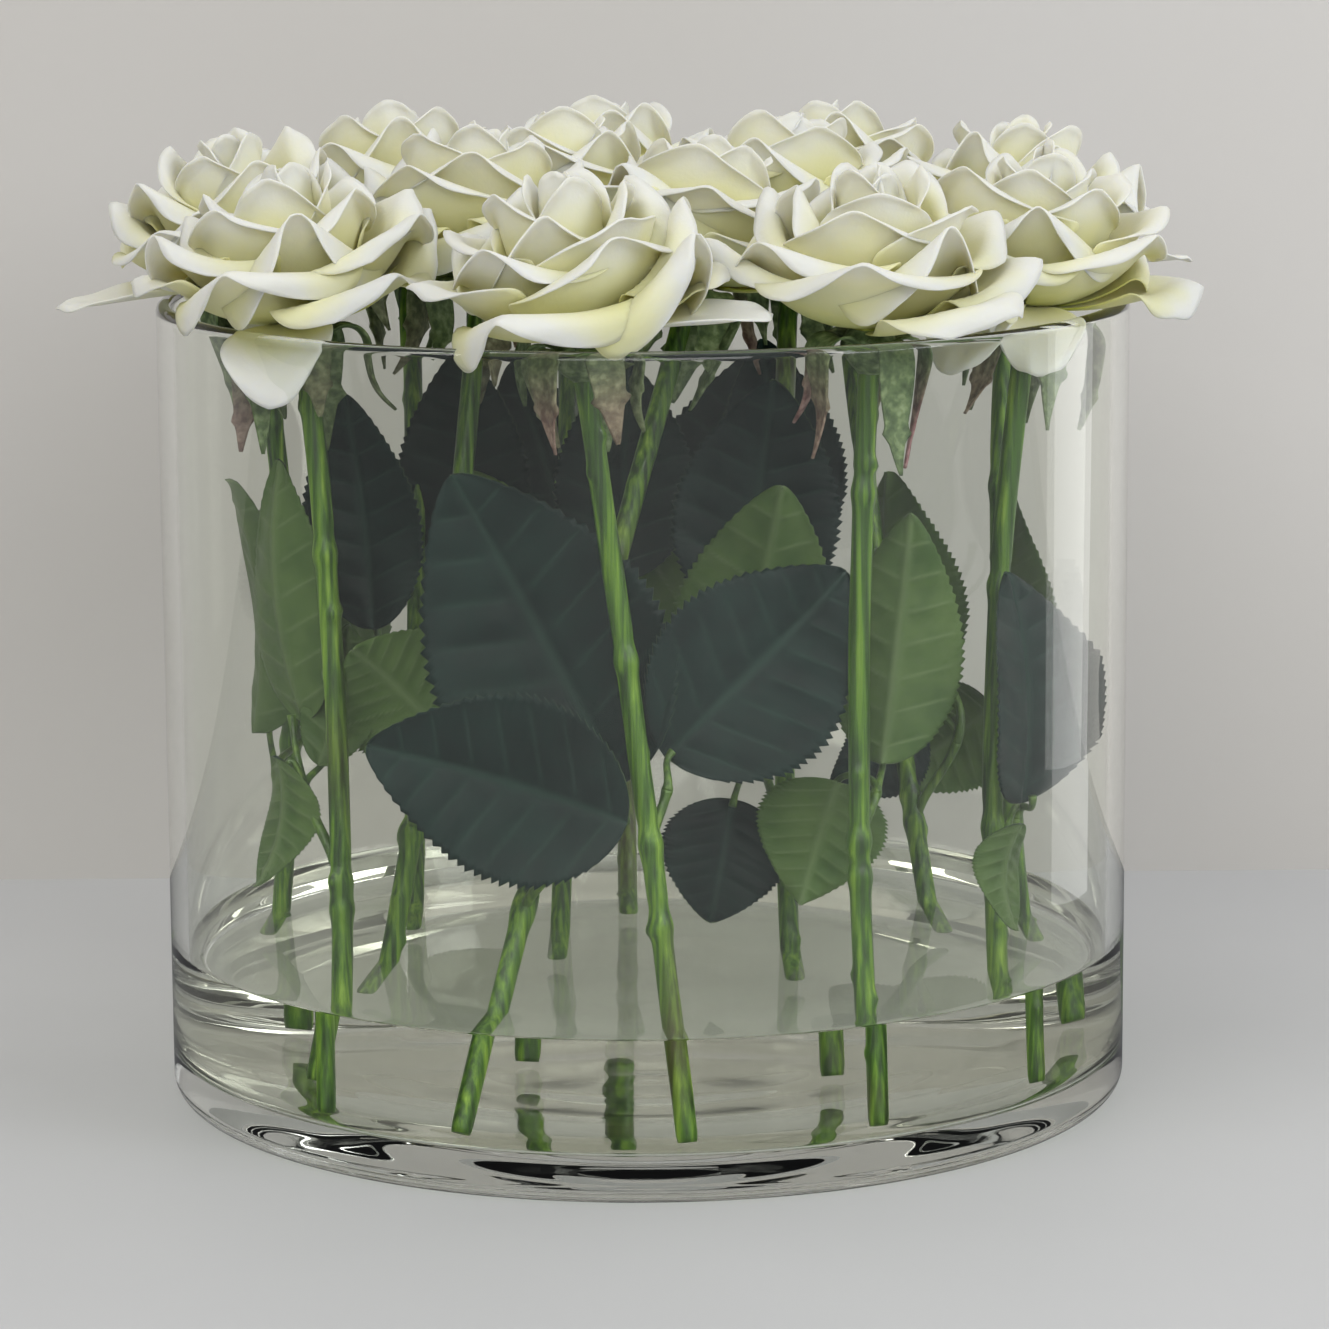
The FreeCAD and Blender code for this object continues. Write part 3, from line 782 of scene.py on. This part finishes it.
# %% [markdown]
# A rose head is a spiral of about two dozen petals. Each next petal stands 137.5 degrees further round,
# so no two line up, and the numbers that shape it slide from the tight middle to the open outside. A
# petal starts as a flat piece of cloth. Its two upper margins are rolled back about two slanting lines,
# which leaves the small peak in the middle. Then it is bent lengthwise along a meridian that leans out
# from the flower's axis, and crosswise round that axis, like a cup.

# %% Petals
PETALS = 23  # without the slipped ones
PETAL_ROWS, PETAL_COLUMNS = 24, 26
GOLDEN_TURN = math.radians(137.508)
# Places from the middle (0) to the outside (1), and at each: leans in degrees, sizes in millimetres and
# the largest roll of a margin in radians.
SPIRAL = [0.0, 0.16, 0.33, 0.5, 0.66, 0.8, 0.92, 1.0]
MIDDLE_LEAN = [-20, -11, 0, 10, 19, 27, 36, 54]
START_LEAN = [24, 40, 58, 72, 80, 85, 88, 88]
CUP_RADIUS = [5, 9.5, 15.5, 21, 27, 33, 40, 50]
HALF_WIDTH = [9.5, 15, 20, 24, 26.5, 28, 28, 25]
ROLL_LIMIT = [0.5, 0.9, 1.3, 1.7, 2.0, 2.3, 2.5, 2.5]
ROLL_MARGIN = [0.4, 0.8, 1.2, 1.6, 2.0, 2.4, 2.8, 3.2]


def column(values):
    """A value per petal, shaped to combine with the petals' grids of rows and columns."""
    return np.asarray(values, float)[:, None, None]


def roll_margins(x, y, length, margin, limit, slant, radius):
    """Rolls the cloth back past two slanting lines.

    A point's distance d past the line is |x| sin(slant) + y cos(slant) - (length cos(slant) - margin).
    It is laid on a cylinder of the given radius, up to the limit angle p, and goes straight after that:
    radius sin p along the cloth and radius (1 - cos p) away from it.
    """
    soft = np.sqrt(x * x + (1.6 * MM) ** 2)
    past = soft * np.sin(slant) + y * np.cos(slant) - length * np.cos(slant) + margin
    past = np.maximum(past, 0)
    turn = np.minimum(past / radius, limit)
    rest = past - turn * radius
    flat = radius * np.sin(turn) + rest * np.cos(turn)
    away = radius * (1 - np.cos(turn)) + rest * np.sin(turn)
    back = past - flat
    return x - x / soft * np.sin(slant) * back, y - np.cos(slant) * back, away


def meridian(y, length, start, middle, tip):
    """Distance from the axis and height of a place y along the petal, and the lean there.

    The lean falls from start to middle as (1 - y/length) to the power 1.5, gains tip at the end, and is
    summed in small steps: sine for the distance, cosine for the height.
    """
    steps = 80
    share = np.linspace(0, 1, steps)[None, :]
    lean = middle + (start - middle) * (1 - share) ** 1.5 + tip * smooth(0.6, 1.0, share)
    size = length / (steps - 1)
    out = np.cumsum(np.sin(lean), axis=1) * size
    high = np.cumsum(np.cos(lean), axis=1) * size
    place = np.clip(y / length[:, :, None], 0, 1) * (steps - 1)
    low = np.minimum(place.astype(int), steps - 2)
    part = place - low
    petal = np.arange(len(y))[:, None, None]
    return tuple(table[petal, low] * (1 - part) + table[petal, low + 1] * part for table in (out, high, lean))


def petal_sheets(shape, first, second, up, root):
    """Every petal of a head at once: an array [petal, row, column, xyz]."""
    a = np.linspace(-1, 1, PETAL_COLUMNS)[None, None, :]
    b = np.linspace(0, 1, PETAL_ROWS)[None, :, None]
    grid = {label: column(numbers) for label, numbers in shape.items()}
    side = 0.30 + 0.70 * np.sin(np.pi / 2 * np.clip(b / 0.62, 0, 1)) ** 1.3 - 0.34 * smooth(0.62, 1.12, b)
    x = a * grid["width"] * side
    y = b * grid["length"] * (1 - 0.20 * np.abs(a) ** 2.4 * b)
    y = y + grid["notch"] * bump_at(a, 0, 0.18) * smooth(0.8, 1.0, b)
    rolling = [grid[label] for label in ("length", "margin", "limit", "slant", "roll")]
    x, y, away = roll_margins(x, y, *rolling)
    radial, height, lean = meridian(y, shape["length"][:, None], shape["start"][:, None],
                                    shape["middle"][:, None], shape["tip"][:, None])
    wave = np.sin(grid["waves"] * a * np.pi + grid["phase"]) * smooth(0.35, 1.0, b)
    ripple = np.sin(9 * a + 5 * b + 2 * grid["phase"]) * smooth(0.7, 1.0, b) * 0.25 * MM
    away = away + grid["wave"] * wave * np.abs(a) ** 0.7 + ripple - grid["skew"] * x
    cup = grid["cup"] * (1.0 + 0.25 * b)
    sideways = cup * np.sin(x / cup)
    inwards = cup * (1 - np.cos(x / cup))
    depth = inwards - away
    out = grid["foot_out"] + radial - depth * np.cos(lean)
    rise = grid["foot_up"] + height + depth * np.sin(lean)
    turn = grid["turn"]
    outward = np.cos(turn)[..., None] * first + np.sin(turn)[..., None] * second
    level = -np.sin(turn)[..., None] * first + np.cos(turn)[..., None] * second
    return root + out[..., None] * outward + rise[..., None] * up + sideways[..., None] * level


def spiral_shape(rng, size, openness):
    """The shaping numbers of a head's petals, from the tight middle to the open outside."""
    count = PETALS
    place = np.linspace(0, 1, count) ** (1 / openness)

    def slide(values):
        return np.interp(place, SPIRAL, values)

    jitter = rng.standard_normal((8, count))
    return {
        "width": slide(HALF_WIDTH) * MM * size * (1 + 0.05 * jitter[0]),
        "length": (35.5 + 5.5 * place) * MM * size * (1 + 0.03 * jitter[1]),
        "start": np.radians(slide(START_LEAN)),
        "middle": np.radians(slide(MIDDLE_LEAN) + (1.5 + 5 * place) * jitter[2]),
        "tip": np.radians(4 + 20 * place + 8 * jitter[3]),
        "cup": slide(CUP_RADIUS) * MM * size * (1 + 0.06 * jitter[4]),
        "limit": slide(ROLL_LIMIT) * (1 + 0.12 * jitter[5]),
        "margin": 0.6 * MM + slide(ROLL_MARGIN) * MM,
        "slant": np.radians(40 + 7 * jitter[6]),
        "roll": (2.2 + 2.6 * place) * MM,
        "notch": (0.5 + 1.6 * place * rng.uniform(0, 1, count)) * MM,
        "wave": (0.4 + 1.0 * place) * MM * rng.uniform(0.5, 1.4, count),
        "waves": rng.uniform(0.7, 1.6, count),
        "phase": rng.uniform(0, 6.28, count),
        "skew": 0.16 - 0.05 * place + 0.03 * jitter[7],
        "foot_out": (0.8 + 3.6 * place) * MM,
        "foot_up": (13.5 - 3.2 * place) * MM,
        "turn": np.arange(count) * GOLDEN_TURN + rng.uniform(0, 6.28) + 0.1 * rng.standard_normal(count),
        "depth": place,
    }


# Petals that have slipped down: the rose, the direction each points in, its lean, half width and length.
SLIPPED = {
    "rose_01": [((-0.25, -1.0), 150, 15, 33)],
    "rose_02": [((1.0, -0.35), 93, 11, 44)],
    "rose_04": [((-0.75, -0.9), 148, 13, 34), ((0.0, -1.0), 140, 12, 32)],
    "rose_05": [((-0.2, -1.0), 150, 12, 30), ((1.0, -0.35), 84, 13, 43)],
    "rose_09": [((0.35, -1.0), 146, 12, 30), ((-1.0, -0.3), 87, 13, 46)],
}


def slipped_shape(shape, rose, first, second, rng):
    """Adds the slipped petals of this rose to the end of each list of shaping numbers."""
    for (east, north), lean, width, length in SLIPPED.get(rose["name"], []):
        turn = math.atan2(north * second[1] + east * second[0], north * first[1] + east * first[0])
        one = {
            "width": width * MM, "length": length * MM, "start": math.radians(84),
            "middle": math.radians(lean), "tip": math.radians(-6), "cup": 26 * MM,
            "limit": 1.2, "margin": 1.5 * MM, "slant": math.radians(40), "roll": 4 * MM,
            "notch": 1.2 * MM, "wave": 0.8 * MM, "waves": 1.1, "phase": rng.uniform(0, 6.28),
            "skew": 0.04, "foot_out": 4.4 * MM, "foot_up": 10 * MM, "turn": turn, "depth": 5.0,
        }
        for label, value in one.items():
            shape[label] = np.append(shape[label], value)
    return shape


def make_head(rose, rng):
    """One flower: its petals as closed shells, thinner towards their margins, on a small green core."""
    first, second, up = flower_frame(rose)
    size = 0.62 + 0.38 * rose["radius"] / (33 * MM)
    shape = spiral_shape(rng, size, rng.uniform(0.92, 1.12))
    shape = slipped_shape(shape, rose, first, second, rng)
    sheets = petal_sheets(shape, first, second, up, rose["top"])
    a = np.abs(np.linspace(-1, 1, PETAL_COLUMNS))[None, None, :] + np.zeros(sheets.shape[:3])
    b = np.linspace(0, 1, PETAL_ROWS)[None, :, None] + np.zeros(sheets.shape[:3])
    thickness = (0.75 - 0.35 * np.maximum(smooth(0.7, 1, a), smooth(0.7, 1, b))) * MM
    points, faces = shell(sheets, thickness)
    values = {
        "along": ring_pair(b),
        "open": ring_pair(column(shape["depth"]) + np.zeros(b.shape)),
        "tone": ring_pair(column(rng.uniform(0, 1, len(sheets))) + np.zeros(b.shape)),
    }
    base_path = rose["top"] + up * np.linspace(8.6, 15, 14)[:, None] * MM
    base_radius = np.interp(np.linspace(0, 1, 14), [0, 0.25, 0.6, 1], [3.2, 5.6, 5.2, 1.5]) * MM
    cup_points, cup_faces = tube(base_path, np.broadcast_to(first, base_path.shape),
                                 np.repeat(base_radius[:, None], 20, 1), 20)
    nothing = np.zeros(len(cup_points))
    core = (cup_points, cup_faces, {label: nothing for label in values})
    return make_piece(f"{rose['name']}_petals", *join([(points, faces.tolist(), values), core]))


heads = dress_roses(make_head, "head", 400)

# %% [markdown]
# The finishes. Printed cloth has a soft pattern and a low gloss; the coated wire is smoother. Each
# recipe starts from the piece's own numbers, such as how far along a petal a point is, and adds cloudy
# noise so that no two places are quite alike.

# %% Petal finish
petal = Recipe("petal_cloth")
along = petal.attribute("along")
openness = petal.attribute("open")
cloud = petal.noise(60, 3)
fine = petal.noise(900, 2)
uneven = petal.math("MULTIPLY", petal.math("SUBTRACT", cloud, 0.5), 0.35)
reach = petal.math("ADD", along, uneven)
reach = petal.math("ADD", reach, petal.math("MULTIPLY", openness, 0.06))
body = petal.ramp(reach, (0.10, (0.44, 0.47, 0.07)), (0.40, (0.68, 0.66, 0.25)),
                  (0.72, (0.74, 0.725, 0.45)), (0.95, (0.75, 0.75, 0.69)))
tone = petal.attribute("tone")
body = petal.mix(petal.math("MULTIPLY", tone, 0.14), body, (0.80, 0.76, 0.55))
petal.set(Base_Color=body, Roughness=0.62, Subsurface_Weight=0.3, Subsurface_Scale=0.004,
          Sheen_Weight=0.15, Sheen_Roughness=0.5, Specular_IOR_Level=0.3)
petal.shader.inputs["Subsurface Radius"].default_value = (1.0, 0.8, 0.4)
petal.bump(petal.math("ADD", fine, petal.math("MULTIPLY", cloud, 0.6)), 0.12, 0.0006)

# %% Stem finish
stem = Recipe("stem_coating")
streak = stem.noise(620, 3, stretch=(1, 1, 0.03))
patch = stem.noise(28, 2, stretch=(1, 1, 0.5))
green = stem.ramp(streak, (0.34, (0.014, 0.045, 0.004)), (0.48, (0.050, 0.130, 0.007)),
                  (0.62, (0.14, 0.27, 0.018)), (0.76, (0.30, 0.46, 0.06)))
brown = stem.ramp(patch, (0.60, (0, 0, 0)), (0.72, (1, 1, 1)))
green = stem.mix(stem.math("MULTIPLY", brown, 0.35), green, (0.15, 0.095, 0.035))
twig = stem.attribute("twig")
green = stem.mix(stem.math("MULTIPLY", twig, 0.45), green, (0.075, 0.125, 0.035))
stem.set(Base_Color=green, Roughness=stem.grey(streak, 0.32, 0.50))
stem.bump(streak, 0.35, 0.0008)

# %% Leaf finish
leaf = Recipe("leaf_cloth")
upper = leaf.attribute("upper")
veins = leaf.attribute("veins")
shade = leaf.attribute("shade")
mottle = leaf.noise(90, 4)
dark = leaf.ramp(mottle, (0.3, (0.004, 0.013, 0.012)), (0.7, (0.010, 0.027, 0.023)))
dark = leaf.mix(leaf.math("MULTIPLY", veins, 0.5), dark, (0.030, 0.064, 0.050))
pale = leaf.ramp(mottle, (0.3, (0.060, 0.115, 0.030)), (0.7, (0.120, 0.190, 0.060)))
pale = leaf.mix(leaf.math("MULTIPLY", veins, 0.5), pale, (0.20, 0.27, 0.13))
pale = leaf.mix(leaf.math("MULTIPLY", shade, 0.35), pale, (0.055, 0.095, 0.035))
cloth = leaf.mix(upper, pale, dark)
leaf.set(Base_Color=cloth, Roughness=leaf.grey(mottle, 0.36, 0.52), Specular_IOR_Level=0.12)
leaf.bump(mottle, 0.12, 0.0006)

# %% Calyx finish
calyx = Recipe("calyx_cloth")
along = calyx.attribute("along")
rosy = calyx.attribute("rosy")
fleck = calyx.noise(420, 4)
cloud = calyx.noise(70, 3)
green = calyx.ramp(fleck, (0.36, (0.050, 0.090, 0.030)), (0.52, (0.115, 0.175, 0.065)),
                   (0.70, (0.26, 0.34, 0.17)))
blush = calyx.ramp(fleck, (0.35, (0.17, 0.045, 0.060)), (0.65, (0.46, 0.24, 0.25)))
outer = calyx.ramp(along, (0.25, (0, 0, 0)), (0.75, (1, 1, 1)))
tipward = calyx.math("MULTIPLY", outer, rosy)
green = calyx.mix(tipward, green, blush)
calyx.set(Base_Color=green, Roughness=calyx.grey(cloud, 0.5, 0.7))
calyx.bump(fleck, 0.3, 0.0006)

# %% Put the finishes on
for pieces, recipe in ((heads, petal), (stems, stem), (leaf_pieces, leaf), (calyxes, calyx)):
    for piece in pieces:
        piece.data.materials.append(recipe.material)
print("finishes: petal, stem, leaf and calyx, each on", len(roses), "pieces")

# %% [markdown]
# The vase stands on a pale shelf in front of a grey wall. The shelf runs on in every direction, and it
# is kept out of mirror reflections, so that it doesn't veil the dark leaves behind the glass. The wall
# is one-sided, so a camera that goes round behind it looks straight through.

# %% Shelf and wall
WALL_DISTANCE = 0.235
STAGE_REACH = 3.0


def make_plane(name, corners):
    """A single four-sided face, as its own object in the scene."""
    mesh = bpy.data.meshes.new(name)
    mesh.from_pydata(corners, [], [(0, 1, 2, 3)])
    plane = new_object(name, mesh)
    return plane


reach = STAGE_REACH
shelf = make_plane("shelf", [(-reach, -reach, 0), (reach, -reach, 0), (reach, reach, 0), (-reach, reach, 0)])
boards = Recipe("shelf_paint")
grain = boards.noise(3, 3)
paint = boards.ramp(grain, (0.3, (0.55, 0.555, 0.565)), (0.7, (0.60, 0.605, 0.615)))
boards.set(Base_Color=paint, Roughness=0.5)
shelf.data.materials.append(boards.material)
shelf.visible_glossy = False

far = WALL_DISTANCE
wall = make_plane("wall", [(-reach, far, 0), (reach, far, 0), (reach, far, reach), (-reach, far, reach)])
plaster = Recipe("wall_paint")
tone = plaster.noise(2.2, 2)
paint = plaster.ramp(tone, (0.35, (0.57, 0.545, 0.51)), (0.65, (0.60, 0.585, 0.57)))
plaster.set(Base_Color=paint, Roughness=0.7)
plaster.clear_where(plaster.add("ShaderNodeNewGeometry").outputs["Backfacing"])
wall.data.materials.append(plaster.material)
print("stage: shelf, and wall at y =", WALL_DISTANCE)

# %% [markdown]
# The light is a soft window from the upper left, a broad front light, a weaker fill from the right and
# the ceiling, and a tall panel at the right that shows in the glass as a whitish strip. The air is pale
# grey, dim as a light and brighter where it is seen. Light may cross many glass surfaces. It is
# mirrored only a few times, which leaves the dark band that a thick glass base has.

# %% Light
AIR_AS_LIGHT, AIR_AS_SEEN = 0.15, 0.55
MOST_CROSSINGS, MOST_MIRRORINGS = 24, 6


def make_light(name, place, target, size, watts, colour=(1, 1, 1)):
    """An area light at a place, turned to face the target."""
    lamp = bpy.data.lights.new(name, "AREA")
    lamp.shape = "RECTANGLE"
    lamp.size, lamp.size_y = size
    lamp.energy = watts
    lamp.color = colour
    light = new_object(name, lamp)
    light.location = place
    light.rotation_euler = (Vector(target) - Vector(place)).to_track_quat("-Z", "Y").to_euler()
    light.visible_camera = False


make_light("window", (-1.0, -1.0, 1.5), (0, 0, 0.12), (1.2, 1.0), 14, (1.0, 0.985, 0.955))
make_light("fill", (1.3, -0.8, 0.9), (0, 0, 0.12), (0.8, 1.0), 12, (0.96, 0.98, 1.0))
make_light("ceiling", (0.0, -0.2, 1.8), (0, 0, 0), (1.6, 1.2), 5.5, (1.0, 0.99, 0.97))
make_light("front", (0.1, -2.2, 1.0), (0, 0, 0.2), (1.8, 1.0), 18)
make_light("panel", (0.48, 0.16, 0.2), (0.1, 0, 0.15), (0.16, 0.5), 0.3)
world = bpy.data.worlds.new("air")
world.use_nodes = True
world.node_tree.nodes["Background"].inputs["Color"].default_value = (0.82, 0.83, 0.86, 1)
nodes, links = world.node_tree.nodes, world.node_tree.links
path = nodes.new("ShaderNodeLightPath")
seen = nodes.new("ShaderNodeMath")
seen.operation = "MAXIMUM"
strength = nodes.new("ShaderNodeMapRange")
strength.inputs["To Min"].default_value = AIR_AS_LIGHT
strength.inputs["To Max"].default_value = AIR_AS_SEEN
links.new(path.outputs["Is Camera Ray"], seen.inputs[0])
links.new(path.outputs["Is Transmission Ray"], seen.inputs[1])
links.new(seen.outputs[0], strength.inputs["Value"])
links.new(strength.outputs["Result"], nodes["Background"].inputs["Strength"])
bpy.context.scene.world = world
bpy.context.scene.view_settings.view_transform = "Standard"
cycles = bpy.context.scene.cycles
cycles.max_bounces = cycles.transmission_bounces = cycles.transparent_max_bounces = MOST_CROSSINGS
cycles.glossy_bounces = MOST_MIRRORINGS

# %% [markdown]
# The camera looks slightly down at the vase from over a metre away, through a long lens, so that the
# rim is a thin ellipse and the walls stay upright.

# %% Camera
camera_data = bpy.data.cameras.new("camera")
camera_data.lens = 136.78  # mm on a 36 mm wide sensor
camera_data.sensor_width = 36
camera_data.shift_x = 0.01437
camera = new_object("camera", camera_data)
camera.location = (0, -1.2966, 0.3499)
turn = Euler((math.radians(79.514), 0, 0)).to_matrix() @ Euler((0, 0, math.radians(-0.434))).to_matrix()
camera.rotation_euler = turn.to_euler()
bpy.context.scene.camera = camera
print("camera: lens", camera_data.lens, "mm at", tuple(round(value, 3) for value in camera.location))
